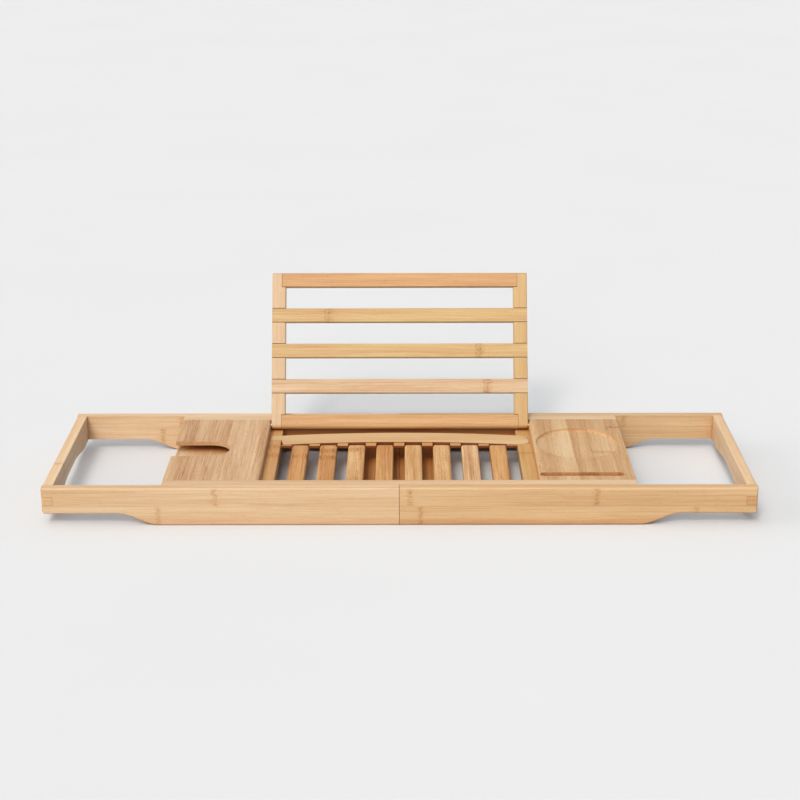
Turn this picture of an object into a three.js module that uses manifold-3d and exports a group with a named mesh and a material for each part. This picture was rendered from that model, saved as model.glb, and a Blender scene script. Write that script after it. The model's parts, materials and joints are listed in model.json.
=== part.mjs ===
// Bath caddy: a tray of laminated bamboo with two sliding frames and a folding book stand.
// Millimetres, +X to the right, +Y to the back, +Z up, and the floor at zero height.
import * as THREE from 'three';
import { mergeVertices } from 'three/addons/utils/BufferGeometryUtils.js';
import Module from 'manifold-3d';

// Whole caddy
const caddyWidth = 750;
const caddyDepth = 230;
const railHeight = 42;

// Fits between pieces
const slideGap = 0.3;
const seatGap = 0.3;
const jointGap = 0.2;
const centreGap = 0.4;

// Rails of the sliding frames
const frameRailThickness = 10;
const endRailThickness = 11.5;
const endUnderside = 13;
const curveMargin = 3;
const curveLength = 43;
const outerRound = 2;
const leftCornerRound = 3;
const fingerHeight = 9.5;

// Arched underside of the end rails
const archSpan = 160;
const archRamp = 60;
const archRise = 7.6;

// Boards that tie the front and back rails of each sliding frame
const crossbarWidth = 48;
const crossbarThickness = 8;

// Blocks under the tray that the crossbars meet at the end of their travel
const stopLength = 12;
const stopEndMargin = 19.7;
const stopUnderside = 2;

// Rails of the tray, with a tongue that runs in the frames
const trayWidth = 500;
const trayRailThickness = 12.5;
const crossbarClearance = 1;
const tongueUnderside = 20;
const tongueHeight = 7;
const tongueReach = 4.2;
const grooveDepth = 4.7;

// Panels at both ends of the tray
const panelThickness = 13;
const panelRound = 3;

// Slot and pocket for the foot of a glass in the left panel, and the shelf below them
const glassSlotWidth = 45;
const glassSlotInnerMargin = 38.7;
const slotLip = 5;
const pocketWidth = 94;
const pocketInnerMargin = 17.7;
const shelfThickness = 7;

// Round recess and straight groove in the right panel
const recessRadius = 46;
const recessSideMargin = 6;
const recessBackMargin = 29.7;
const recessDepth = 2.8;
const recessCove = 3.5;
const phoneGrooveWidth = 10;
const phoneGrooveInnerMargin = 1.7;
const phoneGrooveOuterMargin = 10;
const phoneGrooveFrontMargin = 11.2;
const phoneGrooveDepth = 7;

// Bed of slats between the panels
const bedDepth = 10.3;
const bedShift = -0.6;
const sideRailWidth = 14.8;
const sideRailThickness = 11.7;
const sideRailRound = 1.2;
const slatCount = 8;
const slatWidth = 19.3;
const slatThickness = 8;
const slatStep = 1;
const slatRound = 2.4;
const slatEndRound = 1.5;
const slatCornerRound = 4;
const slatUnderLedge = 1;
const slatEntry = 2;
const tenonInset = 2;
const tenonRise = 1.2;
const tenonThickness = 2.5;
const tenonLength = 11;
const bedRailDepth = 28;
const bedRailThickness = 8.1;
const bedRailStep = 1.2;
const bedRailLip = 2.5;
const bedRailUndercut = 13;
const toothDepth = 7;

// Curved bar that stops a book from sliding
const ledgeWidth = 28;
const ledgeThickness = 5;
const ledgeBow = 9.2;
const ledgeBackGap = 25.2;
const ledgeUndercut = 4.4;
const ledgeTabLength = 13;
const ledgeTabRound = 9;
const ledgeShoulder = 14.3;
const ledgeShoulderSlant = 2.5;
const ledgePinRadius = 1.9;
const ledgePinFromEnd = 3;
const ledgePinFromBack = 8.8;
const ledgePinLength = 9;
const ledgePinProud = 0.5;
const ledgePinRound = 0.5;

// Book stand
const standWidth = 295.4;
const standSideGap = 0.6;
const standTopGap = 0.2;
const standFrontGap = 0.8;
const standThickness = 9;
const standLean = 26;
const stileWidth = 16;
const standRailCount = 5;
const standRailHeight = 16.4;
const standRound = 1.2;
const stileTopRound = 2;
const housingDepth = 4.5;
const pivotRadius = 2.2;
const pivotBackMargin = 6.3;
const pivotInPanel = 8;
const pivotInStile = 9;

// Overrun of the cuts and fineness of the curves
const overshoot = 5;
const cornerSegments = 2;
const cornerSteps = 3;
const bevelSteps = 3;
const roundSegments = 12;
const rampSteps = 12;
const ledgeSteps = 24;
const recessSegments = 64;
const coveSteps = 4;

// Colours of the pieces
const paleBamboo = '#e0bd92';
const warmBamboo = '#d9b080';
const pinkBamboo = '#d3a87d';
const slatBamboo = '#d29f67';
const shadeBamboo = '#b98857';
const steel = '#c9c6c0';

// Worked out from the sizes above
const halfWidth = caddyWidth / 2;
const halfDepth = caddyDepth / 2;
const halfTray = trayWidth / 2;
const frameRailInner = halfDepth - frameRailThickness;
const trayRailOuter = frameRailInner - slideGap;
const trayRailInner = trayRailOuter - trayRailThickness;
const trayRailUnderside = crossbarThickness + crossbarClearance;
const panelInnerEdge = standWidth / 2 + standSideGap;
const panelUnderside = railHeight - panelThickness;
const bedHalfWidth = panelInnerEdge - sideRailWidth;
const bedLeft = bedShift - bedHalfWidth;
const bedRight = bedShift + bedHalfWidth;
const sideRailTop = railHeight - bedDepth;
const slatTop = sideRailTop - slatStep;
const bedRailTop = sideRailTop - bedRailStep;
const ledgeFrontAtEnds = trayRailInner - ledgeBackGap - ledgeWidth;
const slatBackEnd = ledgeFrontAtEnds + slatUnderLedge;
const leanAngle = THREE.MathUtils.degToRad(standLean);
const standFace = standThickness / 2;
const pivotHeight = railHeight - standTopGap - standFace;
const pivotDepth = trayRailInner - pivotBackMargin;
const standHeight = pivotDepth + trayRailInner + standFace - standFrontGap;
const slatPitch = (2 * bedHalfWidth + slatWidth) / (slatCount + 1);

const wasm = await Module();
wasm.setup();

// A closed geometry as a solid that can be cut and joined
function solid(geometry) {
  geometry.deleteAttribute('normal');
  geometry.deleteAttribute('uv');
  const merged = mergeVertices(geometry);
  const vertProperties = new Float32Array(merged.getAttribute('position').array);
  const triVerts = new Uint32Array(merged.getIndex().array);
  return new wasm.Manifold(new wasm.Mesh({ numProp: 3, vertProperties, triVerts }));
}

// A solid as a flat shaded geometry
function shell(body) {
  const mesh = body.getMesh();
  const geometry = new THREE.BufferGeometry();
  geometry.setAttribute('position', new THREE.BufferAttribute(new Float32Array(mesh.vertProperties), 3));
  geometry.setIndex(new THREE.BufferAttribute(new Uint32Array(mesh.triVerts), 1));
  geometry.computeVertexNormals();
  return geometry;
}

// A box given by its lowest and highest corners
function block(x0, x1, y0, y1, z0, z1) {
  const geometry = new THREE.BoxGeometry(x1 - x0, y1 - y0, z1 - z0);
  geometry.translate((x0 + x1) / 2, (y0 + y1) / 2, (z0 + z1) / 2);
  return solid(geometry);
}

// Directions in which an outline is laid out and drawn into a bar
const axes = {
  x: new THREE.Matrix4().makeBasis(
    new THREE.Vector3(0, 1, 0),
    new THREE.Vector3(0, 0, 1),
    new THREE.Vector3(1, 0, 0),
  ),
  y: new THREE.Matrix4().makeBasis(
    new THREE.Vector3(1, 0, 0),
    new THREE.Vector3(0, 0, 1),
    new THREE.Vector3(0, -1, 0),
  ),
  z: new THREE.Matrix4(),
};

// A bar drawn along one axis from an outline, with its two ends rounded where a round is given
function bar(outline, axis, from, to, round = 0, curveSegments = cornerSegments, roundSteps = bevelSteps) {
  const length = Math.abs(to - from);
  const geometry = new THREE.ExtrudeGeometry(outline, {
    depth: length - 2 * round,
    curveSegments,
    bevelEnabled: round > 0,
    bevelThickness: round,
    bevelSize: round,
    bevelOffset: -round,
    bevelSegments: roundSteps,
  });
  geometry.translate(0, 0, round);
  geometry.applyMatrix4(axes[axis]);
  const start = axis === 'y' ? Math.max(from, to) : Math.min(from, to);
  geometry.translate(axis === 'x' ? start : 0, axis === 'y' ? start : 0, axis === 'z' ? start : 0);
  return solid(geometry);
}

// An outline through a list of points
function outlineThrough(points) {
  return new THREE.Shape(points.map(([across, up]) => new THREE.Vector2(across, up)));
}

// A rectangle whose four corners are given rounds, from the lower left one counterclockwise
function roundedRectangle(left, right, low, high, rounds) {
  const [lowLeft, lowRight, highRight, highLeft] = rounds;
  const shape = new THREE.Shape();
  const quarter = Math.PI / 2;
  shape.moveTo(left + lowLeft, low);
  shape.lineTo(right - lowRight, low);
  if (lowRight) shape.absarc(right - lowRight, low + lowRight, lowRight, -quarter, 0);
  shape.lineTo(right, high - highRight);
  if (highRight) shape.absarc(right - highRight, high - highRight, highRight, 0, quarter);
  shape.lineTo(left + highLeft, high);
  if (highLeft) shape.absarc(left + highLeft, high - highLeft, highLeft, quarter, 2 * quarter);
  shape.lineTo(left, low + lowLeft);
  if (lowLeft) shape.absarc(left + lowLeft, low + lowLeft, lowLeft, 2 * quarter, 3 * quarter);
  return shape;
}

// A slope that starts and ends level
function ease(share) {
  return share * share * (3 - 2 * share);
}

// Points of a level change between two places
function rampPoints(from, to, fromHeight, toHeight) {
  const points = [];
  for (let step = 0; step <= rampSteps; step += 1) {
    const share = step / rampSteps;
    const height = fromHeight + (toHeight - fromHeight) * ease(share);
    points.push([from + (to - from) * share, height]);
  }
  return points;
}

// Points of a rounded lower right corner
function cornerPoints(right, low, round) {
  if (!round) return [[right, low]];
  const points = [];
  for (let step = 0; step <= cornerSteps; step += 1) {
    const angle = (step / cornerSteps) * (Math.PI / 2);
    points.push([right - round + round * Math.sin(angle), low + round - round * Math.cos(angle)]);
  }
  return points;
}

// A round pin along one axis
function pin(radius, axis, from, to, centre) {
  const shape = new THREE.Shape();
  shape.absarc(centre[0], centre[1], radius, 0, 2 * Math.PI);
  return bar(shape, axis, from, to, 0, roundSegments);
}

const caddy = new THREE.Group();

// A named mesh in a group
function place(group, name, body, color, metalness = 0, roughness = 0.6) {
  const material = new THREE.MeshStandardMaterial({ color, roughness, metalness });
  const mesh = new THREE.Mesh(shell(body), material);
  mesh.name = name;
  group.add(mesh);
}

// Sliding frames. They are drawn for the right side and mirrored for the left one.
function frameRailBlank(round) {
  const curveEnd = halfTray + curveMargin;
  const underside = rampPoints(curveEnd, curveEnd + curveLength, 0, endUnderside);
  const outline = outlineThrough([
    [-overshoot, 0],
    ...underside,
    ...cornerPoints(halfWidth, endUnderside, round),
    [halfWidth, railHeight],
    [-overshoot, railHeight],
  ]);
  const thick = bar(outline, 'y', -halfDepth, -frameRailInner + overshoot, outerRound);
  const kept = block(centreGap / 2, caddyWidth, -caddyDepth, -frameRailInner, -overshoot, caddyDepth);
  return thick.intersect(kept);
}

function fingerBox(gap) {
  const middle = (endUnderside + railHeight) / 2;
  const low = middle - fingerHeight / 2 - gap;
  const high = middle + fingerHeight / 2 + gap;
  return block(halfWidth - endRailThickness - gap, caddyWidth, -caddyDepth, -frameRailInner, low, high);
}

function frameRail(round) {
  const low = tongueUnderside - slideGap;
  const high = tongueUnderside + tongueHeight + slideGap;
  const grooveFloor = -frameRailInner - grooveDepth;
  const groove = block(-overshoot, halfTray + slideGap, grooveFloor, -frameRailInner + overshoot, low, high);
  return frameRailBlank(round).subtract(groove).subtract(fingerBox(jointGap));
}

function endRail(cornerRound) {
  const ramp = archSpan / 2 - archRamp;
  const high = endUnderside + archRise;
  const length = frameRailInner + overshoot;
  const outline = outlineThrough([
    [-length, endUnderside],
    ...rampPoints(-archSpan / 2, -ramp, endUnderside, high),
    ...rampPoints(ramp, archSpan / 2, high, endUnderside),
    [length, endUnderside],
    [length, railHeight],
    [-length, railHeight],
  ]);
  const thick = bar(outline, 'x', halfWidth - endRailThickness - overshoot, halfWidth, outerRound);
  const seat = frameRailInner - jointGap;
  const kept = block(halfWidth - endRailThickness, caddyWidth, -seat, seat, 0, caddyDepth);
  const rail = thick.intersect(kept);
  const finger = frameRailBlank(cornerRound).intersect(fingerBox(0)).add(fingerRoot());
  return rail.add(finger).add(finger.mirror([0, 1, 0]));
}

// The finger crosses the joint gap between the end rail and the front rail
function fingerRoot() {
  const middle = (endUnderside + railHeight) / 2;
  const root = overshoot / 2;
  return block(
    halfWidth - endRailThickness,
    halfWidth,
    -frameRailInner - root,
    -frameRailInner + root,
    middle - fingerHeight / 2,
    middle + fingerHeight / 2,
  );
}

function crossbar() {
  const reach = frameRailInner - jointGap;
  return block(centreGap / 2, crossbarWidth, -reach, reach, 0, crossbarThickness);
}

for (const side of ['left', 'right']) {
  const frame = new THREE.Group();
  const turned = side === 'left' ? (body) => body.mirror([1, 0, 0]) : (body) => body;
  const round = side === 'left' ? leftCornerRound : 0;
  place(frame, `${side}_front_rail`, turned(frameRail(round)), paleBamboo);
  place(frame, `${side}_back_rail`, turned(frameRail(round).mirror([0, 1, 0])), paleBamboo);
  place(frame, `${side}_end_rail`, turned(endRail(round)), warmBamboo);
  place(frame, `${side}_crossbar`, turned(crossbar()), shadeBamboo);
  caddy.add(frame);
}

// Tray rails with the tongues that carry the sliding frames
const tray = new THREE.Group();

function trayRail() {
  const tongueFace = -trayRailOuter - tongueReach;
  const outline = outlineThrough([
    [-trayRailInner, trayRailUnderside],
    [-trayRailInner, railHeight],
    [-trayRailOuter, railHeight],
    [-trayRailOuter, tongueUnderside + tongueHeight],
    [tongueFace, tongueUnderside + tongueHeight],
    [tongueFace, tongueUnderside],
    [-trayRailOuter, tongueUnderside],
    [-trayRailOuter, trayRailUnderside],
  ]);
  return bar(outline, 'x', -halfTray, halfTray);
}

// The raised book stand leans on a sloped seat in the inner edge of the back rail
function leanSeat() {
  const space = new THREE.BoxGeometry(2 * panelInnerEdge, caddyDepth, caddyDepth);
  space.translate(0, standFace + seatGap - caddyDepth / 2, 0);
  space.rotateX(-leanAngle);
  space.translate(0, pivotDepth, pivotHeight);
  return solid(space);
}

place(tray, 'tray_front_rail', trayRail(), paleBamboo);
place(tray, 'tray_back_rail', trayRail().mirror([0, 1, 0]).subtract(leanSeat()), paleBamboo);

// Panels, drawn for the right side
function panelBlank() {
  const rounds = [0, 0, 0, panelRound];
  const outline = roundedRectangle(panelInnerEdge, halfTray, panelUnderside, railHeight, rounds);
  return bar(outline, 'y', -trayRailInner, trayRailInner);
}

function pivotHole(gap) {
  const reach = [panelInnerEdge - overshoot, panelInnerEdge + pivotInPanel + gap];
  return pin(pivotRadius + gap, 'x', ...reach, [pivotDepth, pivotHeight]);
}

// An opening with one round end, from the outer edge of the tray inward
function openSlot(width, innerMargin, low, high) {
  const end = panelInnerEdge + innerMargin + width / 2;
  const shape = new THREE.Shape();
  shape.moveTo(halfTray + width, width / 2);
  shape.lineTo(end, width / 2);
  shape.absarc(end, 0, width / 2, Math.PI / 2, 3 * Math.PI / 2);
  shape.lineTo(halfTray + width, -width / 2);
  return bar(shape, 'z', low, high, 0, roundSegments);
}

function leftPanel() {
  const slot = openSlot(glassSlotWidth, glassSlotInnerMargin, 0, caddyDepth);
  const pocket = openSlot(pocketWidth, pocketInnerMargin, 0, railHeight - slotLip);
  return panelBlank().subtract(slot).subtract(pocket).subtract(pivotHole(jointGap)).mirror([1, 0, 0]);
}

// The round recess has a flat floor and a hollow curve up to its rim
function recessBowl() {
  const profile = [new THREE.Vector2(0, -recessDepth)];
  for (let step = 0; step <= coveSteps; step += 1) {
    const angle = (step / coveSteps) * (Math.PI / 2);
    const across = recessRadius - recessCove + recessCove * Math.sin(angle);
    profile.push(new THREE.Vector2(across, -recessDepth * Math.cos(angle)));
  }
  profile.push(new THREE.Vector2(recessRadius, recessDepth), new THREE.Vector2(0, recessDepth));
  const bowl = new THREE.LatheGeometry(profile, recessSegments);
  bowl.rotateX(Math.PI / 2);
  return bowl;
}

function rightPanel() {
  const recess = recessBowl();
  const recessX = halfTray - recessSideMargin - recessRadius;
  recess.translate(recessX, trayRailInner - recessBackMargin - recessRadius, railHeight);
  const round = phoneGrooveWidth / 2;
  const left = panelInnerEdge + phoneGrooveInnerMargin;
  const right = halfTray - phoneGrooveOuterMargin;
  const low = phoneGrooveFrontMargin - trayRailInner;
  const rounds = [round, round, round, round];
  const outline = roundedRectangle(left, right, low, low + phoneGrooveWidth, rounds);
  const groove = bar(outline, 'z', railHeight - phoneGrooveDepth, caddyDepth, 0, roundSegments / 2);
  return panelBlank().subtract(solid(recess)).subtract(groove).subtract(pivotHole(jointGap));
}

function leftShelf() {
  const low = panelUnderside - shelfThickness;
  return block(-halfTray, -panelInnerEdge, -trayRailInner, trayRailInner, low, panelUnderside);
}

place(tray, 'left_panel', leftPanel(), pinkBamboo);
place(tray, 'left_shelf', leftShelf(), warmBamboo);
place(tray, 'right_panel', rightPanel(), pinkBamboo);

// Curved bar, let into the side rails and into the rail behind the slats
function ledgeOutline(grow) {
  const centre = (bedHalfWidth ** 2 - ledgeBow ** 2) / (2 * ledgeBow);
  const frontRadius = Math.hypot(bedHalfWidth, centre);
  const spread = Math.asin((bedHalfWidth + overshoot) / frontRadius);
  const front = [];
  const back = [];
  for (let step = 0; step <= ledgeSteps; step += 1) {
    const angle = spread * (2 * step / ledgeSteps - 1);
    const across = bedShift + frontRadius * Math.sin(angle);
    const bow = frontRadius * Math.cos(angle) - centre;
    front.push([across, ledgeFrontAtEnds + bow - grow]);
    back.unshift([across, ledgeFrontAtEnds + ledgeWidth + bow + grow]);
  }
  return outlineThrough([...front, ...back]);
}

// The right tab has a round end. The left one is narrower, with a shoulder in front of it.
function ledgeTabs(grow) {
  const front = ledgeFrontAtEnds - grow;
  const back = ledgeFrontAtEnds + ledgeWidth + grow;
  const low = sideRailTop - ledgeThickness;
  const high = sideRailTop + grow;
  const reach = ledgeTabLength + grow;
  const rounds = [0, ledgeTabRound, ledgeTabRound, 0];
  const outline = roundedRectangle(bedRight - seatGap, bedRight + reach, front, back, rounds);
  const right = bar(outline, 'z', low, high, 0, roundSegments / 2);
  const left = block(bedLeft - reach, bedLeft + seatGap, front + ledgeShoulder, back, low, high);
  return right.add(left);
}

function ledgePin(gap, round) {
  const low = sideRailTop - ledgePinLength - gap;
  const across = bedRight + ledgeTabLength - ledgePinFromEnd;
  const deep = ledgeFrontAtEnds + ledgeWidth - ledgePinFromBack;
  const shape = new THREE.Shape();
  shape.absarc(across, deep, ledgePinRadius + gap, 0, 2 * Math.PI);
  return bar(shape, 'z', low, sideRailTop + ledgePinProud, round, roundSegments);
}

// The bar's edges slant inward below a thin upper edge
function ledgeBent(grow) {
  const low = sideRailTop - ledgeThickness;
  return bar(ledgeOutline(grow), 'z', low, sideRailTop + ledgeUndercut, ledgeUndercut, cornerSegments, 1);
}

// The left end is cut at a slant in front of its tab
function ledgeBar() {
  const back = ledgeFrontAtEnds + ledgeWidth + ledgeBow;
  const ends = outlineThrough([
    [bedLeft, ledgeFrontAtEnds + ledgeShoulder],
    [bedLeft + ledgeShoulderSlant, ledgeFrontAtEnds],
    [bedRight, ledgeFrontAtEnds],
    [bedRight, back],
    [bedLeft, back],
  ]);
  const span = bar(ends, 'z', 0, sideRailTop);
  return ledgeBent(0).intersect(span).add(ledgeTabs(0)).subtract(ledgePin(jointGap, 0));
}

// Side rails beside the slats
function sideRail() {
  const rounds = [0, 0, 0, sideRailRound];
  const low = sideRailTop - sideRailThickness;
  const outline = roundedRectangle(bedRight, panelInnerEdge, low, sideRailTop, rounds);
  const rail = bar(outline, 'y', -trayRailInner, trayRailInner);
  return rail.subtract(ledgeTabs(seatGap)).subtract(ledgePin(jointGap, 0));
}

function leftSideRail() {
  const rounds = [0, 0, sideRailRound, 0];
  const low = sideRailTop - sideRailThickness;
  const outline = roundedRectangle(-panelInnerEdge, bedLeft, low, sideRailTop, rounds);
  return bar(outline, 'y', -trayRailInner, trayRailInner).subtract(ledgeTabs(seatGap));
}

place(tray, 'left_side_rail', leftSideRail(), warmBamboo);
place(tray, 'right_side_rail', sideRail(), warmBamboo);
place(tray, 'ledge_bar', ledgeBar(), paleBamboo);
place(tray, 'ledge_pin', ledgePin(0, ledgePinRound), steel, 0.9, 0.35);

// Bed of slats, with a notched rail at each end that holds the tenons
const slatUnderside = slatTop - slatThickness;
const tenonLow = slatUnderside + tenonRise;
const slatCorners = [slatCornerRound, slatCornerRound, slatCornerRound, slatCornerRound];
const bedRailFront = slatBackEnd - slatEntry;
const frontBedRailEdge = bedRailDepth - trayRailInner;
const slatFrontEnd = frontBedRailEdge - slatEntry;

function slatCentre(index) {
  return bedShift + (index - (slatCount - 1) / 2) * slatPitch;
}

function slat(index) {
  const middle = slatCentre(index);
  const half = slatWidth / 2;
  const rounds = [0, 0, slatRound, slatRound];
  const outline = roundedRectangle(middle - half, middle + half, slatUnderside, slatTop, rounds);
  const plan = roundedRectangle(middle - half, middle + half, slatFrontEnd, slatBackEnd, slatCorners);
  const corners = bar(plan, 'z', 0, railHeight);
  const body = bar(outline, 'y', slatFrontEnd, slatBackEnd, slatEndRound).intersect(corners);
  const edge = half - tenonInset;
  const front = slatFrontEnd - tenonLength;
  const back = slatBackEnd + tenonLength;
  const tenons = block(middle - edge, middle + edge, front, back, tenonLow, tenonLow + tenonThickness);
  return body.add(tenons);
}

// The rail is drawn with its toothed edge to the front at the given depth
function bedRail(edge) {
  const low = bedRailTop - bedRailThickness;
  const outline = outlineThrough([
    [edge, bedRailTop],
    [edge, bedRailTop - bedRailLip],
    [edge + bedRailUndercut, low],
    [edge + bedRailDepth, low],
    [edge + bedRailDepth, bedRailTop],
  ]);
  let rail = bar(outline, 'x', bedLeft, bedRight);
  const half = slatWidth / 2 + seatGap;
  const trench = tenonLow - jointGap;
  const reach = edge + slatEntry + tenonLength + seatGap;
  for (let index = 0; index < slatCount; index += 1) {
    const middle = slatCentre(index);
    const notch = block(middle - half, middle + half, edge - overshoot, edge + toothDepth, 0, railHeight);
    const housing = block(middle - half, middle + half, edge, reach, trench, railHeight);
    rail = rail.subtract(notch).subtract(housing);
  }
  return rail;
}

const slatBackRail = bedRail(bedRailFront).subtract(ledgeBent(seatGap)).subtract(ledgeTabs(seatGap));
place(tray, 'slat_back_rail', slatBackRail, warmBamboo);
place(tray, 'slat_front_rail', bedRail(-frontBedRailEdge).mirror([0, 1, 0]), warmBamboo);
for (let index = 0; index < slatCount; index += 1) {
  place(tray, `slat_${index + 1}`, slat(index), slatBamboo);
}

// The stops lie under the tray's rails, near their ends
for (const side of ['left', 'right']) {
  for (const end of ['front', 'back']) {
    const far = halfTray - stopEndMargin;
    const stop = block(far - stopLength, far, trayRailInner, trayRailOuter, stopUnderside, trayRailUnderside);
    const across = side === 'left' ? stop.mirror([1, 0, 0]) : stop;
    const turned = end === 'front' ? across.mirror([0, 1, 0]) : across;
    place(tray, `${side}_${end}_stop`, turned, shadeBamboo);
  }
}

// Steel pins on which the book stand turns
for (const side of ['left', 'right']) {
  const inward = standWidth / 2 - pivotInStile;
  const body = pin(pivotRadius, 'x', inward, panelInnerEdge + pivotInPanel, [pivotDepth, pivotHeight]);
  place(tray, `${side}_pivot_pin`, side === 'left' ? body.mirror([1, 0, 0]) : body, steel, 0.9, 0.35);
}
caddy.add(tray);

// Book stand, drawn upright about its pivot and then leaned back
const stand = new THREE.Group();
const standHalf = standWidth / 2;
const stileInner = standHalf - stileWidth;
const standFootRound = standFace - jointGap;
const standFoot = -standFace;
const standRailPitch = (standHeight - standRailHeight) / (standRailCount - 1);

function standRailLow(index) {
  return standFoot + index * standRailPitch;
}

// A rail that ends in the stiles, over their whole thickness
function housedRail(index) {
  const low = standRailLow(index);
  const lowRound = index === 0 ? standFootRound : standRound;
  const rounds = [lowRound, lowRound, standRound, standRound];
  const outline = roundedRectangle(-standFace, standFace, low, low + standRailHeight, rounds);
  const half = stileInner + housingDepth;
  return bar(outline, 'x', -half, half);
}

// A rail whose front half laps over the stiles to their outer edges
function lappedRail(index) {
  const low = standRailLow(index);
  const rounds = [standRound, standRound, standRound, standRound];
  const outline = roundedRectangle(-standFace, standFace, low, low + standRailHeight, rounds);
  const rail = bar(outline, 'x', -standHalf, standHalf);
  const end = block(stileInner - seatGap, standWidth, -seatGap / 2, standWidth, -standHeight, standHeight);
  return rail.subtract(end).subtract(end.mirror([1, 0, 0]));
}

function isHoused(index) {
  return index === 0 || index === standRailCount - 1;
}

function stile() {
  const rounds = [standFootRound, standFootRound, stileTopRound, stileTopRound];
  const outline = roundedRectangle(-standFace, standFace, standFoot, standFoot + standHeight, rounds);
  let body = bar(outline, 'x', stileInner, standHalf, standRound);
  for (let index = 0; index < standRailCount; index += 1) {
    const low = standRailLow(index) - seatGap;
    const high = low + standRailHeight + 2 * seatGap;
    const edge = isHoused(index) ? stileInner + housingDepth + seatGap : standWidth;
    const floor = isHoused(index) ? standWidth : seatGap / 2;
    body = body.subtract(block(0, edge, -standWidth, floor, low, high));
  }
  const hole = pin(pivotRadius + jointGap, 'x', standHalf - pivotInStile - seatGap, standWidth, [0, 0]);
  return body.subtract(hole);
}

place(stand, 'stand_right_stile', stile(), warmBamboo);
place(stand, 'stand_left_stile', stile().mirror([1, 0, 0]), warmBamboo);
for (let index = 0; index < standRailCount; index += 1) {
  const rail = isHoused(index) ? housedRail(index) : lappedRail(index);
  place(stand, `stand_rail_${index + 1}`, rail, warmBamboo);
}
stand.position.set(0, pivotDepth, pivotHeight);
stand.rotation.x = -leanAngle;
caddy.add(stand);

// The origin lies on the floor, under the middle of the whole object
const extent = new THREE.Box3().setFromObject(caddy, true);
caddy.position.y = -(extent.min.y + extent.max.y) / 2;

export default caddy;
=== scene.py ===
"""Looks of the bath caddy: laminated bamboo, steel pins, a pale floor and soft studio light.

Metres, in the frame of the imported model: +X to the right, +Y to the back, +Z up.
"""

import json
import math
import random

import bpy
from mathutils import Matrix, Vector

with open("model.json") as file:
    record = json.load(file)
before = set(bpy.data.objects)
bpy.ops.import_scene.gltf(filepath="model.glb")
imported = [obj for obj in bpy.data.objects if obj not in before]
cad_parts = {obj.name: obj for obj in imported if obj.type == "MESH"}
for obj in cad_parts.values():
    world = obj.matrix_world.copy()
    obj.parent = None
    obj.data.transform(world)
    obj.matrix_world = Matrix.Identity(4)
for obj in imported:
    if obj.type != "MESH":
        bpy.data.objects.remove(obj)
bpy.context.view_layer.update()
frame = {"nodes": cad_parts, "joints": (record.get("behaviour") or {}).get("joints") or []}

NODES = frame["nodes"]
JOINTS = {joint["name"]: joint for joint in frame["joints"]}

# The raised book stand: its pivot and its lean
PIVOT = Vector(JOINTS["stand_fold"]["pos_m"])
LEAN = math.radians(26)

# Camera, found by fitting a pinhole camera to the corners of the object
CAMERA_PLACE = Vector((0.0065, -1.8187, 0.7382))
CAMERA_PITCH = math.radians(19.632)
CAMERA_YAW = math.radians(-0.188)
CAMERA_ROLL = math.radians(-0.149)
CAMERA_FOCUS_PIXELS = 1739.1
PICTURE_PIXELS = 800
SENSOR_WIDTH = 36
CAMERA_NEAR = 0.05
CAMERA_FAR = 60

# Places of the sockets in a mix node: its numbers, its colours and its mixed colour
MIX_NUMBERS = (2, 3)
MIX_COLOURS = (6, 7)
MIX_COLOUR_RESULT = 2


def srgb(red, green, blue):
    """A colour given as 0 to 255, as linear values. The numbers are those of the sRGB standard."""
    def linear(value):
        value /= 255
        return value / 12.92 if value <= 0.04045 else ((value + 0.055) / 1.055) ** 2.4
    return (linear(red), linear(green), linear(blue), 1)


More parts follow.
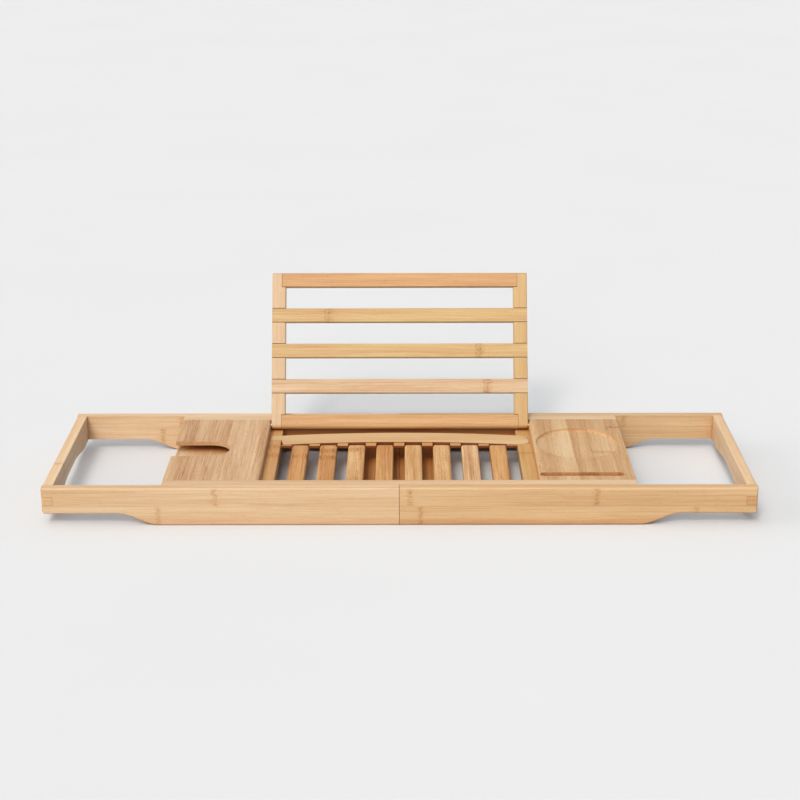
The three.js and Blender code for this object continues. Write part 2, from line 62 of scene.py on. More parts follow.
class Tree:
    """A node tree with short calls for the nodes that the materials use."""

    def __init__(self, tree):
        self.tree = tree

    def add(self, kind, **settings):
        node = self.tree.nodes.new(kind)
        for name, value in settings.items():
            setattr(node, name, value)
        return node

    def feed(self, socket, value):
        """Links a socket to another one, or sets it to a plain value."""
        if isinstance(value, bpy.types.NodeSocket):
            self.tree.links.new(value, socket)
        elif value is not None:
            socket.default_value = value

    def math(self, operation, first, second=None, third=None, clamp=False):
        node = self.add("ShaderNodeMath", operation=operation, use_clamp=clamp)
        for socket, value in zip(node.inputs, (first, second, third)):
            self.feed(socket, value)
        return node.outputs[0]

    def vector(self, operation, first, second):
        node = self.add("ShaderNodeVectorMath", operation=operation)
        self.feed(node.inputs[0], first)
        self.feed(node.inputs[1], second)
        return node.outputs["Value" if operation == "DOT_PRODUCT" else "Vector"]

    def noise(self, vector, scale, detail=2.0, roughness=0.5):
        """Noise from 0 to 1. The scale is how often it changes per metre, along each axis."""
        scaled = self.vector("MULTIPLY", vector, scale)
        node = self.add("ShaderNodeTexNoise", noise_dimensions="3D")
        self.feed(node.inputs["Vector"], scaled)
        node.inputs["Scale"].default_value = 1
        node.inputs["Detail"].default_value = detail
        node.inputs["Roughness"].default_value = roughness
        return node.outputs[0]

    def even_noise(self, vector, scale, detail=2.0, roughness=0.5):
        """Noise that goes as far below 0 as above it."""
        return self.math("SUBTRACT", self.noise(vector, scale, detail, roughness), 0.5)

    def smooth(self, value, low, high, start=0.0, end=1.0):
        """A smooth step from start to end while the value goes from low to high."""
        node = self.add("ShaderNodeMapRange", interpolation_type="SMOOTHSTEP")
        given = {"Value": value, "From Min": low, "From Max": high, "To Min": start, "To Max": end}
        for label, number in given.items():
            self.feed(node.inputs[label], number)
        return node.outputs["Result"]

    def fade(self, value, low, high):
        """A smooth step down from 1 to 0."""
        return self.smooth(value, low, high, 1.0, 0.0)

    def larger(self, first, second):
        """The larger of two values, or the second where the first is still a plain 0."""
        return second if first == 0.0 else self.math("MAXIMUM", first, second)

    def mix_numbers(self, share, first, second):
        node = self.add("ShaderNodeMix", data_type="FLOAT")
        self.feed(node.inputs["Factor"], share)
        for index, number in zip(MIX_NUMBERS, (first, second)):
            self.feed(node.inputs[index], number)
        return node.outputs[0]

    def mix(self, share, first, second, kind="MIX"):
        node = self.add("ShaderNodeMix", data_type="RGBA", blend_type=kind)
        self.feed(node.inputs["Factor"], share)
        for index, colour in zip(MIX_COLOURS, (first, second)):
            self.feed(node.inputs[index], colour)
        return node.outputs[MIX_COLOUR_RESULT]

    def tinted(self, share, colour, tint):
        """A colour that is multiplied with a tint, as far as the share says."""
        return self.mix(share, colour, self.mix(1.0, colour, tint, "MULTIPLY"))

    def split(self, vector):
        node = self.add("ShaderNodeSeparateXYZ")
        self.feed(node.inputs[0], vector)
        return node.outputs

    def join(self, x, y, z):
        node = self.add("ShaderNodeCombineXYZ")
        for socket, value in zip(node.inputs, (x, y, z)):
            self.feed(socket, value)
        return node.outputs[0]

    def ramp(self, value, stops, steps=False):
        """A colour ramp through (place, colour) stops."""
        node = self.add("ShaderNodeValToRGB")
        ramp = node.color_ramp
        ramp.interpolation = "CONSTANT" if steps else "LINEAR"
        while len(ramp.elements) < len(stops):
            ramp.elements.new(0.5)
        for element, (place, colour) in zip(ramp.elements, stops):
            element.position = place
            element.color = colour
        self.feed(node.inputs[0], value)
        return node.outputs[0]


def new_group(name, inputs, outputs):
    """A node group with the vector Grain, number inputs and number outputs."""
    group = bpy.data.node_groups.new(name, "ShaderNodeTree")
    group.interface.new_socket("Grain", in_out="INPUT", socket_type="NodeSocketVector")
    for label in inputs:
        group.interface.new_socket(label, in_out="INPUT", socket_type="NodeSocketFloat")
    for label in outputs:
        group.interface.new_socket(label, in_out="OUTPUT", socket_type="NodeSocketFloat")
    tree = Tree(group)
    return group, tree, tree.add("NodeGroupInput").outputs, tree.add("NodeGroupOutput").inputs


# A knot: changes per metre of its ragged edge, how far that edge wanders, and how the band fades
RAGGED_SCALE = (60, 420, 420)
KNOT_WANDER = 0.009
KNOT_FADE = (0.0004, 0.0042)
# Shares of a strip's half width between which its knots fade out
KNOT_SIDE = (0.86, 1.0)
# Most that a knot bows across its strip
KNOT_BEND = 0.0015
# Faint arcs beside a knot: radians per metre, the part of a wave that shows, and how they fade
ARC_WAVES = 2400.0
ARC_CREST = (0.1, 0.95)
ARC_FADE = (0.001, 0.011)


def make_knot_group():
    """A growth node of the cane: a wrinkled band across one strip, with faint arcs beside it."""
    group, tree, given, result = new_group(
        "bamboo_knot",
        ["Place", "Middle", "Half", "Bend", "Size"],
        ["Band", "Arcs"],
    )
    along, across, _ = tree.split(given["Grain"])
    ragged = tree.even_noise(given["Grain"], RAGGED_SCALE, detail=3)
    wander = tree.math("MULTIPLY", ragged, KNOT_WANDER)
    off = tree.math("SUBTRACT", across, given["Middle"])
    side = tree.math("DIVIDE", off, given["Half"])
    bow = tree.math("MULTIPLY", tree.math("MULTIPLY", side, side), given["Bend"])
    away = tree.math("SUBTRACT", along, given["Place"])
    away = tree.math("ADD", away, tree.math("ADD", wander, bow))
    away = tree.math("DIVIDE", away, given["Size"])
    gap = tree.math("ABSOLUTE", away)
    inside = tree.fade(tree.math("ABSOLUTE", side), *KNOT_SIDE)
    band = tree.math("MULTIPLY", tree.fade(gap, *KNOT_FADE), inside)
    wave = tree.math("SINE", tree.math("MULTIPLY", away, ARC_WAVES))
    crest = tree.smooth(wave, *ARC_CREST)
    near = tree.math("MULTIPLY", tree.fade(gap, *ARC_FADE), inside)
    tree.feed(result["Band"], band)
    tree.feed(result["Arcs"], tree.math("MULTIPLY", crest, near))
    return group


# Changes per metre of each pattern in the wood: along, across and through a board
SWAY_SCALE = (9, 30, 30)
BROAD_SCALE = (3.0, 60, 60)
STREAK_SCALE = (5.0, 400, 400)
FIBRE_SCALE = (26, 1500, 1500)
FLECK_SCALE = (210, 1150, 1150)
SPOT_SCALE = (900, 900, 900)
CRUMPLE_SCALE = (700, 1200, 1200)
# Noise values between which a fleck or a spot of the cut end begins
FLECK_RANGE = (0.60, 0.74)
SPOT_RANGE = (0.38, 0.62)
# How far a strip's seed moves its pattern, and how far fibres sway and pass round a knot
SEED_STEP = 13.7
SWAY = 0.004
KNOT_BULGE = 0.0012
# How much each pattern changes the tone
BROAD_TONE = 0.50
STREAK_TONE = 0.52
FIBRE_TONE = 0.46
SPOT_TONE = 0.16
KNOT_TONE = 0.15
CRUMPLE_TONE = 0.85
ARC_TONE = 0.07
SEAM_TONE = 0.16
# How much each pattern changes the height, as a share of the bump's depth
MIDDLE_HEIGHT = 0.5
STREAK_HEIGHT = 0.3
FIBRE_HEIGHT = 0.5
KNOT_HEIGHT = 0.3
CRUMPLE_HEIGHT = 0.8
FLECK_SINK = 0.25
SEAM_SINK = 0.5
# Roughness of the lacquer, and how much each pattern adds to it
WOOD_ROUGHNESS = 0.5
STREAK_ROUGHNESS = 0.16
BROAD_ROUGHNESS = 0.12
KNOT_ROUGHNESS = 0.08
END_ROUGHNESS = 0.2


def make_bamboo_group():
    """Fibres, streaks and flecks of one board. Grain is in metres: along, across and through."""
    group, tree, given, result = new_group(
        "bamboo_grain",
        ["Tone", "Seed", "Seam", "Band", "Arcs", "End", "End tone", "Flecks", "Contrast"],
        ["Shade", "Height", "Rough"],
    )
    shift = tree.math("MULTIPLY", given["Seed"], SEED_STEP)
    moved = tree.vector("ADD", given["Grain"], tree.join(shift, shift, shift))
    sway = tree.even_noise(moved, SWAY_SCALE, detail=1)
    bulge = tree.math("MULTIPLY", given["Band"], KNOT_BULGE)
    bend = tree.math("ADD", tree.math("MULTIPLY", sway, SWAY), bulge)
    grain = tree.vector("ADD", moved, tree.join(0.0, bend, bend))

    broad = tree.even_noise(grain, BROAD_SCALE, detail=2)
    streak = tree.even_noise(grain, STREAK_SCALE, detail=3, roughness=0.6)
    fibre = tree.even_noise(grain, FIBRE_SCALE, detail=2, roughness=0.6)
    fleck = tree.smooth(tree.noise(grain, FLECK_SCALE, detail=1), *FLECK_RANGE)
    spots = tree.smooth(tree.noise(given["Grain"], SPOT_SCALE, detail=1), *SPOT_RANGE)
    crumple = tree.even_noise(given["Grain"], CRUMPLE_SCALE, detail=2)

    streaks = tree.math("MULTIPLY", streak, STREAK_TONE)
    lines = tree.math("ADD", streaks, tree.math("MULTIPLY", fibre, FIBRE_TONE))
    varied = tree.math("ADD", lines, tree.math("MULTIPLY", broad, BROAD_TONE))
    side_grain = tree.math("MULTIPLY", varied, given["Contrast"])
    side_grain = tree.math("SUBTRACT", side_grain, tree.math("MULTIPLY", fleck, given["Flecks"]))
    even_spots = tree.math("SUBTRACT", spots, 0.5)
    end_grain = tree.math("MULTIPLY_ADD", even_spots, SPOT_TONE, given["End tone"])
    shade = tree.math("ADD", given["Tone"], tree.mix_numbers(given["End"], side_grain, end_grain))
    wrinkles = tree.math("MULTIPLY_ADD", crumple, CRUMPLE_TONE, KNOT_TONE)
    shade = tree.math("SUBTRACT", shade, tree.math("MULTIPLY", given["Band"], wrinkles))
    shade = tree.math("SUBTRACT", shade, tree.math("MULTIPLY", given["Arcs"], ARC_TONE))
    seams = tree.math("MULTIPLY", given["Seam"], SEAM_TONE)
    shade = tree.math("SUBTRACT", shade, seams, clamp=True)
    tree.feed(result["Shade"], shade)

    fibres = tree.math("MULTIPLY", fibre, FIBRE_HEIGHT)
    height = tree.math("ADD", fibres, tree.math("MULTIPLY", streak, STREAK_HEIGHT))
    height = tree.math("SUBTRACT", height, tree.math("MULTIPLY", given["Seam"], SEAM_SINK))
    height = tree.math("SUBTRACT", height, tree.math("MULTIPLY", fleck, FLECK_SINK))
    wrinkles = tree.math("MULTIPLY_ADD", crumple, CRUMPLE_HEIGHT, KNOT_HEIGHT)
    height = tree.math("ADD", height, tree.math("MULTIPLY", given["Band"], wrinkles))
    tree.feed(result["Height"], tree.math("ADD", height, MIDDLE_HEIGHT))

    rough = tree.math("MULTIPLY_ADD", streak, STREAK_ROUGHNESS, WOOD_ROUGHNESS)
    rough = tree.math("MULTIPLY_ADD", broad, BROAD_ROUGHNESS, rough)
    rough = tree.math("MULTIPLY_ADD", given["Band"], KNOT_ROUGHNESS, rough)
    rough = tree.math("MULTIPLY_ADD", given["End"], END_ROUGHNESS, rough)
    tree.feed(result["Rough"], rough)
    return group


KNOT = make_knot_group()
BAMBOO = make_bamboo_group()

# Directions of the grain: the axes that run along, across and through a board, as x, y and z
LENGTHWISE_UPRIGHT = ("x", "z", "y")
LENGTHWISE_FLAT = ("x", "y", "z")
DEEPWISE_UPRIGHT = ("y", "z", "x")
DEEPWISE_FLAT = ("y", "x", "z")
STAND_RAIL = ("x", "z", "y")
STAND_STILE = ("z", "x", "y")
AXES = {"x": Vector((1, 0, 0)), "y": Vector((0, 1, 0)), "z": Vector((0, 0, 1))}
FORWARD = (0.0, -1.0, 0.0)

# Colours of bamboo from its darkest fibre to its palest, before a board's own tint
BAMBOO_STOPS = [
    (0.00, srgb(120, 70, 36)),
    (0.22, srgb(172, 117, 72)),
    (0.48, srgb(206, 160, 112)),
    (0.74, srgb(226, 190, 148)),
    (1.00, srgb(240, 214, 178)),
]
# Kinds of bamboo strip: tints that are multiplied with the colours above
PALE = (0.75, 0.77, 0.80)
BLOND = (0.67, 0.68, 0.69)
STRAW = (0.65, 0.64, 0.59)
HONEY = (0.66, 0.60, 0.48)
GOLD = (0.63, 0.60, 0.43)
AMBER = (0.64, 0.53, 0.37)
# Painted shade: the upright stand, which faces the lights more squarely, is coloured a little darker than
# the tray
STAND_PAINTED_SHADE = 0.87
# Glue lines between strips, and how far the strips reach past a board's faces
SEAM_FADE = (0.0001, 0.0005)
STRIP_MARGIN = 1e-4
# Rounded edges, and the paler tone where they are worn
EDGE_ROUND = 0.0007
STAND_EDGE_ROUND = EDGE_ROUND / 3
EDGE_FACING = (0.80, 0.995)
EDGE_TONE = 0.05
# How squarely a face looks along the grain, to the front or up, to count as an end, front or top
END_FACING = (0.35, 0.80)
FRONT_FACING = (0.5, 0.9)
TOP_FACING = (0.85, 0.98)
# A little less than the depth of the cup recess, where the cutter bared a paler layer
RECESS_DEPTH = 0.0026
# The phone groove lies deeper than this and takes little of the paler tone
GROOVE_STARTS = 1.5 * RECESS_DEPTH
GROOVE_ENDS = 2 * RECESS_DEPTH
# Painted shade in nooks between pieces, darker and warmer where they are closed in: how far to look, and
# how open they are
NOOK_REACH = 0.03
NOOK_OPENNESS = (0.15, 0.60)
NOOK_PAINTED_SHADE_TINT = (0.90, 0.54, 0.31, 1)
# Painted shade on the fronts of rails: darker, warmer tints for faces that point forward
FRONT_PAINTED_SHADE = (0.80, 0.46, 0.24, 1)
DEEP_FRONT_PAINTED_SHADE = (0.38, 0.23, 0.15, 1)
# Relief and sheen of the lacquered wood
BUMP_DEPTH = 0.00012
WOOD_SPECULAR = 0.3
COAT_WEIGHT = 0.05
COAT_ROUGHNESS = 0.32
# Rays that look for edges and nooks
FEELER_RAYS = 4
# Noise values between which a two-coloured surface changes
NOISE_LOW = 0.3
NOISE_HIGH = 0.7
# Steel of the pins: turning marks and stains per metre, colours with a painted warm reflection of the
# wood, and roughness
STEEL_MARKS = (2600, 900, 900)
STEEL_STAINS = (300, 300, 300)
STEEL_DARK = srgb(190, 176, 156)
STEEL_LIGHT = srgb(228, 218, 202)
STEEL_ROUGHNESS = 0.2
MARK_ROUGHNESS = 0.2
STEEL_BUMP_DEPTH = BUMP_DEPTH / 4


def new_material(name):
    """An empty node material and its tree."""
    material = bpy.data.materials.new(name)
    material.use_nodes = True
    material.node_tree.nodes.clear()
    return material, Tree(material.node_tree)


def dress(name, material):
    """Puts one material in every slot of a node."""
    piece = NODES[name]
    for slot in piece.material_slots:
        slot.link = "OBJECT"
        slot.material = material


def board_range(name, axis, tilted):
    """Lowest and highest place of a node along one grain axis, in metres."""
    index = "xyz".index(axis)
    points = [vertex.co for vertex in NODES[name].data.vertices]
    if tilted:
        turn = Matrix.Rotation(LEAN, 3, "X")
        points = [turn @ (point - PIVOT) for point in points]
    values = [point[index] for point in points]
    return min(values), max(values)


def strip_ramp(tree, across, low, high, cuts, tones, dice):
    """Tone, seed and seam of the strips that a board is glued from."""
    span = high - low
    share = tree.math("DIVIDE", tree.math("SUBTRACT", across, low), span)
    starts = [0.0] + [(cut - low) / span for cut in cuts]
    stops = [(start, (tone, dice.random(), dice.random(), 1)) for start, tone in zip(starts, tones)]
    picked = tree.add("ShaderNodeSeparateColor")
    tree.feed(picked.inputs[0], tree.ramp(share, stops, steps=True))
    seam = 0.0
    for cut in cuts:
        gap = tree.math("ABSOLUTE", tree.math("SUBTRACT", across, cut))
        seam = tree.larger(seam, tree.fade(gap, *SEAM_FADE))
    return picked.outputs[0], picked.outputs[1], seam


def bamboo(name, axes, tone=0.7, cuts=None, tones=None, strip=0.021, spread=0.05, knots=(), flecks=0.1,
           contrast=1.0, knot_size=1.0, end_tone=-0.25, tint=BLOND, painted_front_shade=None,
           recess_tone=0.0, tilted=False):
    """Gives a node a bamboo material.

    Its strips lie between the cuts, each with its own tone, or else are about as wide as strip, with tones
    that differ from tone by up to spread. Knots are (place along, lowest, highest across), in metres.
    """
    dice = random.Random(name)
    material, tree = new_material(name + "_bamboo")
    coordinates = tree.add("ShaderNodeTexCoord")
    place, normal = coordinates.outputs["Object"], coordinates.outputs["Normal"]
    if tilted:
        turned = tree.add("ShaderNodeMapping", vector_type="TEXTURE")
        tree.feed(turned.inputs["Vector"], place)
        turned.inputs["Location"].default_value = PIVOT
        turned.inputs["Rotation"].default_value = (-LEAN, 0, 0)
        place = turned.outputs[0]
    parts = tree.split(place)
    along, across, through = (parts[axis.upper()] for axis in axes)
    grain = tree.join(along, across, through)

    low, high = board_range(name, axes[1], tilted)
    if cuts is None:
        count = max(1, round((high - low) / strip))
        cuts = [low + (high - low) * (index / count) for index in range(1, count)]
    if tones is None:
        tones = [tone + dice.uniform(-spread, spread) for _ in range(len(cuts) + 1)]
    strip_tone, strip_seed, seam = strip_ramp(
        tree, across, low - STRIP_MARGIN, high + STRIP_MARGIN, cuts, tones, dice)

    band = 0.0
    arcs = 0.0
    for place_along, knot_low, knot_high in knots:
        knot = tree.add("ShaderNodeGroup", node_tree=KNOT)
        tree.feed(knot.inputs["Grain"], grain)
        knot.inputs["Place"].default_value = place_along
        knot.inputs["Middle"].default_value = (knot_low + knot_high) / 2
        knot.inputs["Half"].default_value = (knot_high - knot_low) / 2
        knot.inputs["Bend"].default_value = dice.uniform(-KNOT_BEND, KNOT_BEND)
        knot.inputs["Size"].default_value = knot_size
        band = tree.larger(band, knot.outputs["Band"])
        arcs = tree.larger(arcs, knot.outputs["Arcs"])

    direction = AXES[axes[0]]
    if tilted:
        direction = Matrix.Rotation(-LEAN, 3, "X") @ direction
    facing = tree.math("ABSOLUTE", tree.vector("DOT_PRODUCT", normal, tuple(direction)))
    end = tree.smooth(facing, *END_FACING)

    wood = tree.add("ShaderNodeGroup", node_tree=BAMBOO)
    given = {
        "Grain": grain,
        "Tone": strip_tone,
        "Seed": strip_seed,
        "Seam": seam,
        "Band": band,
        "Arcs": arcs,
        "End": end,
        "End tone": end_tone,
        "Flecks": flecks,
        "Contrast": contrast,
    }
    for label, value in given.items():
        tree.feed(wood.inputs[label], value)

    bevel = tree.add("ShaderNodeBevel", samples=FEELER_RAYS)
    bevel.inputs["Radius"].default_value = STAND_EDGE_ROUND if tilted else EDGE_ROUND
    geometry = tree.add("ShaderNodeNewGeometry")
    flat = tree.vector("DOT_PRODUCT", bevel.outputs[0], geometry.outputs["True Normal"])
    worn = tree.fade(flat, *EDGE_FACING)
    shade = tree.math("MULTIPLY_ADD", worn, EDGE_TONE, wood.outputs["Shade"])
    if recess_tone:
        top = board_range(name, axes[2], tilted)[1]
        sunk = tree.smooth(through, top - RECESS_DEPTH, top - RECESS_DEPTH / 2, recess_tone, 0.0)
        above_groove = tree.smooth(through, top - GROOVE_ENDS, top - GROOVE_STARTS)
        upward = tree.smooth(tree.split(normal)[2], *TOP_FACING)
        lift = tree.math("MULTIPLY", tree.math("MULTIPLY", sunk, above_groove), upward)
        shade = tree.math("ADD", shade, lift)
    # Painted shade: the stand's boards are coloured darker than the tray's
    painted_shade_of_board = STAND_PAINTED_SHADE if tilted else 1.0
    board_tint = [part * painted_shade_of_board for part in tint]
    colour = tree.mix(1.0, tree.ramp(shade, BAMBOO_STOPS), (*board_tint, 1), "MULTIPLY")
    # Painted shade: nooks that the occlusion finds closed in are tinted darker and warmer
    nook = tree.add("ShaderNodeAmbientOcclusion", samples=FEELER_RAYS)
    nook.inputs["Distance"].default_value = NOOK_REACH
    painted_nook_shade = tree.fade(nook.outputs["AO"], *NOOK_OPENNESS)
    colour = tree.tinted(painted_nook_shade, colour, NOOK_PAINTED_SHADE_TINT)
    # Painted shade: faces that point forward are tinted darker and warmer
    if painted_front_shade:
        front = tree.smooth(tree.vector("DOT_PRODUCT", normal, FORWARD), *FRONT_FACING)
        colour = tree.tinted(front, colour, painted_front_shade)

    bump = tree.add("ShaderNodeBump")
    bump.inputs["Strength"].default_value = 1.0
    bump.inputs["Distance"].default_value = BUMP_DEPTH
    tree.feed(bump.inputs["Height"], wood.outputs["Height"])
    tree.feed(bump.inputs["Normal"], bevel.outputs[0])

    shader = tree.add("ShaderNodeBsdfPrincipled")
    tree.feed(shader.inputs["Base Color"], colour)
    tree.feed(shader.inputs["Roughness"], wood.outputs["Rough"])
    tree.feed(shader.inputs["Normal"], bump.outputs[0])
    shader.inputs["Specular IOR Level"].default_value = WOOD_SPECULAR
    shader.inputs["Coat Weight"].default_value = COAT_WEIGHT
    shader.inputs["Coat Roughness"].default_value = COAT_ROUGHNESS
    output = tree.add("ShaderNodeOutputMaterial")
    tree.feed(output.inputs["Surface"], shader.outputs[0])
    dress(name, material)


def steel(name):
    """A bright steel pin with fine turning marks."""
    material, tree = new_material(name + "_steel")
    place = tree.add("ShaderNodeTexCoord").outputs["Object"]
    marks = tree.noise(place, STEEL_MARKS, detail=3)
    stains = tree.noise(place, STEEL_STAINS, detail=2)
    shader = tree.add("ShaderNodeBsdfPrincipled")
    shader.inputs["Metallic"].default_value = 1.0
    # Painted reflection: the steel's colours are warmed as if reflecting the wood
    colour = tree.ramp(stains, [(NOISE_LOW, STEEL_DARK), (NOISE_HIGH, STEEL_LIGHT)])
    tree.feed(shader.inputs["Base Color"], colour)
    rough = tree.math("MULTIPLY_ADD", marks, MARK_ROUGHNESS, STEEL_ROUGHNESS)
    tree.feed(shader.inputs["Roughness"], rough)
    bump = tree.add("ShaderNodeBump")
    bump.inputs["Distance"].default_value = STEEL_BUMP_DEPTH
    tree.feed(bump.inputs["Height"], marks)
    tree.feed(shader.inputs["Normal"], bump.outputs[0])
    tree.feed(tree.add("ShaderNodeOutputMaterial").inputs["Surface"], shader.outputs[0])
    dress(name, material)


# Strips of the sliding frames' rails, from the floor up: lowest and highest place
FRONT_CUT, BACK_CUT, RAIL_TOP = 0.0215, 0.028, 0.042
FRONT_UPPER = (FRONT_CUT, RAIL_TOP)
FRONT_LOWER = (0.0, FRONT_CUT)
BACK_UPPER = (BACK_CUT, RAIL_TOP)
BACK_LOWER = (0.0, BACK_CUT)
END_MIDDLE = (0.012, BACK_CUT)
# Strip width that leaves a narrow board in one piece
ONE_STRIP = 0.03

# Sliding frames
bamboo("left_front_rail", LENGTHWISE_UPRIGHT, cuts=[FRONT_CUT], tones=[0.70, 0.66], contrast=0.8,
       knots=[(-0.1936, *FRONT_UPPER), (-0.253, *FRONT_LOWER)])
bamboo("right_front_rail", LENGTHWISE_UPRIGHT, tint=STRAW, cuts=[FRONT_CUT], tones=[0.64, 0.62],
       contrast=0.8, knots=[(0.011, *FRONT_UPPER), (0.0225, *FRONT_LOWER),
                            (0.207, *FRONT_UPPER), (0.3106, *FRONT_LOWER)])
bamboo("left_back_rail", LENGTHWISE_UPRIGHT, tint=PALE, cuts=[BACK_CUT], tones=[0.68, 0.70],
       contrast=0.8, knots=[(-0.253, *BACK_UPPER), (-0.276, *BACK_LOWER), (-0.06, *BACK_UPPER)])
bamboo("right_back_rail", LENGTHWISE_UPRIGHT, tint=STRAW, cuts=[BACK_CUT], tones=[0.64, 0.66],
       contrast=0.8, knots=[(0.261, *BACK_UPPER), (0.10, *BACK_LOWER)])
bamboo("left_end_rail", DEEPWISE_UPRIGHT, tint=PALE, cuts=[BACK_CUT], tones=[0.66, 0.68],
       contrast=0.8, end_tone=-0.14, knots=[(-0.0704, BACK_CUT, 0.043), (0.04, *END_MIDDLE)])
bamboo("right_end_rail", DEEPWISE_UPRIGHT, tint=PALE, cuts=[BACK_CUT], tones=[0.64, 0.66],
       contrast=0.8, knots=[(0.03, *END_MIDDLE)])
for side in ("left", "right"):
    bamboo(side + "_crossbar", DEEPWISE_FLAT, tint=AMBER, tone=0.50, strip=0.012, spread=0.06)

# Tray
bamboo("tray_front_rail", LENGTHWISE_UPRIGHT, tone=0.70, strip=0.02, contrast=0.8)
# Painted shade on its forward faces
bamboo("tray_back_rail", LENGTHWISE_UPRIGHT, tone=0.68, strip=0.02, contrast=0.8, painted_front_shade=FRONT_PAINTED_SHADE,
       knots=[(-0.19, 0.02, RAIL_TOP)])
bamboo("left_panel", DEEPWISE_FLAT, cuts=[-0.231, -0.2115, -0.192, -0.1715],
       tones=[0.46, 0.52, 0.55, 0.61, 0.61], contrast=1.5, flecks=0.26, end_tone=-0.06)
bamboo("right_panel", DEEPWISE_FLAT, tint=STRAW, cuts=[0.172, 0.1916, 0.2124, 0.234],
       tones=[0.52, 0.62, 0.44, 0.58, 0.47], flecks=0.3, recess_tone=0.10, end_tone=-0.10,
       knots=[(0.039, 0.234, 0.25), (-0.031, 0.2124, 0.234)])
bamboo("left_shelf", DEEPWISE_FLAT, tone=0.58, strip=0.02)
bamboo("left_side_rail", DEEPWISE_FLAT, tint=AMBER, tone=0.64, strip=0.016, knot_size=2.4,
       knots=[(0.007, -0.149, -0.132), (-0.0198, -0.149, -0.132)])
bamboo("right_side_rail", DEEPWISE_FLAT, tint=GOLD, tone=0.64, strip=0.016,
       knots=[(0.017, 0.132, 0.149), (-0.0146, 0.132, 0.149)])
bamboo("ledge_bar", LENGTHWISE_FLAT, tint=STRAW, tone=0.72, strip=ONE_STRIP, contrast=0.8)
# Painted shade on its forward faces
bamboo("slat_back_rail", LENGTHWISE_FLAT, tint=AMBER, tone=0.60, strip=0.014, painted_front_shade=DEEP_FRONT_PAINTED_SHADE)
bamboo("slat_front_rail", LENGTHWISE_FLAT, tint=HONEY, tone=0.60, strip=0.014)
for side in ("left", "right"):
    for end in ("front", "back"):
        bamboo("%s_%s_stop" % (side, end), LENGTHWISE_FLAT, tint=HONEY, tone=0.55)

# Slats from left to right: tint, tone, flecks and places of knots that cross the whole slat
SLATS = [
    (AMBER, 0.48, 0.20, [-0.020]),
    (AMBER, 0.57, 0.20, [-0.004, -0.024]),
    (HONEY, 0.50, 0.45, [0.0]),
    (AMBER, 0.58, 0.12, []),
    (HONEY, 0.71, 0.18, []),
    (HONEY, 0.60, 0.40, []),
    (PALE, 0.59, 0.20, []),
    (AMBER, 0.45, 0.30, []),
]
# From beyond one edge of every slat to beyond the other
ACROSS_SLATS = (-0.2, 0.2)
for number, (tint, tone, flecks, places) in enumerate(SLATS, start=1):
    bamboo("slat_%d" % number, DEEPWISE_FLAT, tint=tint, tone=tone, strip=ONE_STRIP, flecks=flecks,
           contrast=1.9, knots=[(place, *ACROSS_SLATS) for place in places], knot_size=2.6)

# Rails of the book stand from the lowest up: tint, tone and places of knots
STAND_RAILS = [
    (AMBER, 0.64, []),
    (BLOND, 0.69, [0.101]),
    (GOLD, 0.68, [0.092]),
    (GOLD, 0.65, [-0.083]),
    (AMBER, 0.61, []),
]
# From below the lowest rail to above the highest, along the stand
ACROSS_STAND = (-0.02, 0.2)
for number, (tint, tone, places) in enumerate(STAND_RAILS, start=1):
    bamboo("stand_rail_%d" % number, STAND_RAIL, tint=tint, tone=tone, strip=ONE_STRIP, spread=0.03,
           contrast=1.2, knots=[(place, *ACROSS_STAND) for place in places], knot_size=1.8, tilted=True)
for side, tint in (("left", BLOND), ("right", GOLD)):
    bamboo("stand_%s_stile" % side, STAND_STILE, tint=tint, tone=0.68, strip=ONE_STRIP, spread=0.03,
           contrast=0.8, tilted=True)

for name in ("ledge_pin", "left_pivot_pin", "right_pivot_pin"):
    steel(name)


# Floor: its size, the middle behind the object, and the two greys of its mottle
FLOOR_SIZE = 40
FLOOR_MIDDLE = (0, 6, 0)
FLOOR_DARK = (0.535, 0.535, 0.537, 1)
FLOOR_LIGHT = (0.545, 0.545, 0.547, 1)
FLOOR_MOTTLE = (3, 3, 3)
FLOOR_ROUGHNESS = 0.9
FLOOR_SPECULAR = 0.1
# Room light: its colour and strength overhead, and a white band where the height is low
ROOM_COLOUR = (0.89, 1.0, 1.13, 1)
ROOM_STRENGTH = 0.50
HORIZON_COLOUR = (1, 1, 1, 1)
HORIZON_STRENGTH = 0.84
HORIZON_LOW = 0.05
HORIZON_HIGH = 0.35
# Soft lights: name, direction towards the light, spread in degrees, and share of the key's strength
SUN_COLOUR = (1.05, 1.0, 0.94)
KEY_STRENGTH = 1.17
LIGHTS = [
    ("key", (-0.3, -0.9, 1.0), 12, 1.0),
    ("key_halo", (-0.1, -0.6, 1.0), 25, 0.5),
    ("front_left", (-0.6, -1.1, 1.0), 25, 0.4),
    ("front", (-0.3, -1.6, 1.0), 30, 1.0),
    ("top", (-0.3, -0.2, 1.0), 30, 0.4),
    ("back", (-0.3, 0.5, 1.0), 40, 0.25),
    ("side", (-2.4, -0.2, 1.0), 35, 0.85),
]


def make_floor():
    """A wide pale floor with a faint, even mottle."""
    bpy.ops.mesh.primitive_plane_add(size=FLOOR_SIZE, location=FLOOR_MIDDLE)
    floor = bpy.context.object
    floor.name = "studio_floor"
    material, tree = new_material("studio_floor")
    place = tree.add("ShaderNodeTexCoord").outputs["Object"]
    mottle = tree.noise(place, FLOOR_MOTTLE, detail=2)
    shader = tree.add("ShaderNodeBsdfPrincipled")
    colour = tree.ramp(mottle, [(NOISE_LOW, FLOOR_DARK), (NOISE_HIGH, FLOOR_LIGHT)])
    tree.feed(shader.inputs["Base Color"], colour)
    shader.inputs["Roughness"].default_value = FLOOR_ROUGHNESS
    shader.inputs["Specular IOR Level"].default_value = FLOOR_SPECULAR
    tree.feed(tree.add("ShaderNodeOutputMaterial").inputs["Surface"], shader.outputs[0])
    floor.data.materials.append(material)


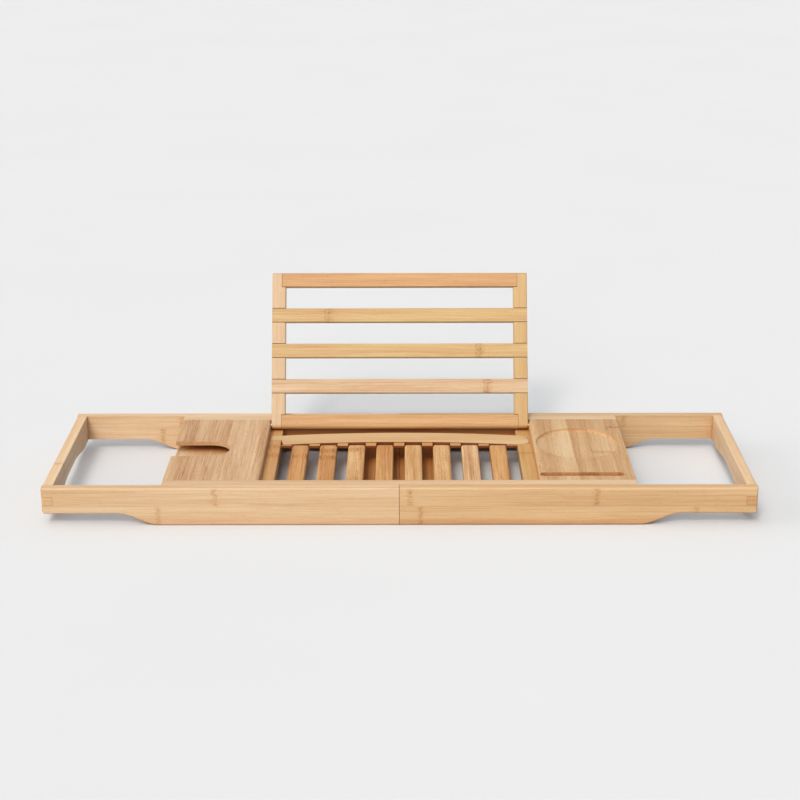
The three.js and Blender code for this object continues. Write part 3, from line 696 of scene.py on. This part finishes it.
def soft_sun(name, toward, spread, share):
    """A far soft light from one direction, spread over an angle in degrees."""
    data = bpy.data.lights.new(name, "SUN")
    data.angle = math.radians(spread)
    data.energy = KEY_STRENGTH * share
    data.color = SUN_COLOUR
    light = bpy.data.objects.new(name, data)
    light.rotation_mode = "QUATERNION"
    light.rotation_quaternion = Vector(toward).to_track_quat("Z", "Y")
    bpy.context.scene.collection.objects.link(light)


def make_world():
    """A dim cool room light, with a pale neutral band along the horizon."""
    world = bpy.data.worlds.new("studio")
    world.use_nodes = True
    tree = Tree(world.node_tree)
    height = tree.split(tree.add("ShaderNodeTexCoord").outputs["Generated"])[2]
    background = world.node_tree.nodes["Background"]
    colour = tree.ramp(height, [(HORIZON_LOW, HORIZON_COLOUR), (HORIZON_HIGH, ROOM_COLOUR)])
    tree.feed(background.inputs["Color"], colour)
    strength = tree.smooth(height, HORIZON_LOW, HORIZON_HIGH, HORIZON_STRENGTH, ROOM_STRENGTH)
    tree.feed(background.inputs["Strength"], strength)
    bpy.context.scene.world = world


def make_camera():
    """The camera that the photograph was taken with, as far as the fit tells."""
    data = bpy.data.cameras.new("camera")
    data.sensor_width = SENSOR_WIDTH
    data.lens = CAMERA_FOCUS_PIXELS / PICTURE_PIXELS * data.sensor_width
    data.clip_start = CAMERA_NEAR
    data.clip_end = CAMERA_FAR
    camera = bpy.data.objects.new("camera", data)
    pitch, yaw, roll = CAMERA_PITCH, CAMERA_YAW, CAMERA_ROLL
    reach = math.cos(pitch)
    ahead = Vector((math.sin(yaw) * reach, math.cos(yaw) * reach, -math.sin(pitch)))
    level = Vector((math.cos(yaw), -math.sin(yaw), 0))
    upward = level.cross(ahead)
    right = math.cos(roll) * level + math.sin(roll) * upward
    above = math.cos(roll) * upward - math.sin(roll) * level
    turn = Matrix((right, above, -ahead)).transposed()
    camera.matrix_world = Matrix.Translation(CAMERA_PLACE) @ turn.to_4x4()
    bpy.context.scene.collection.objects.link(camera)
    bpy.context.scene.camera = camera


make_floor()
for light in LIGHTS:
    soft_sun(*light)
make_world()
bpy.context.scene.view_settings.view_transform = "Standard"
make_camera()
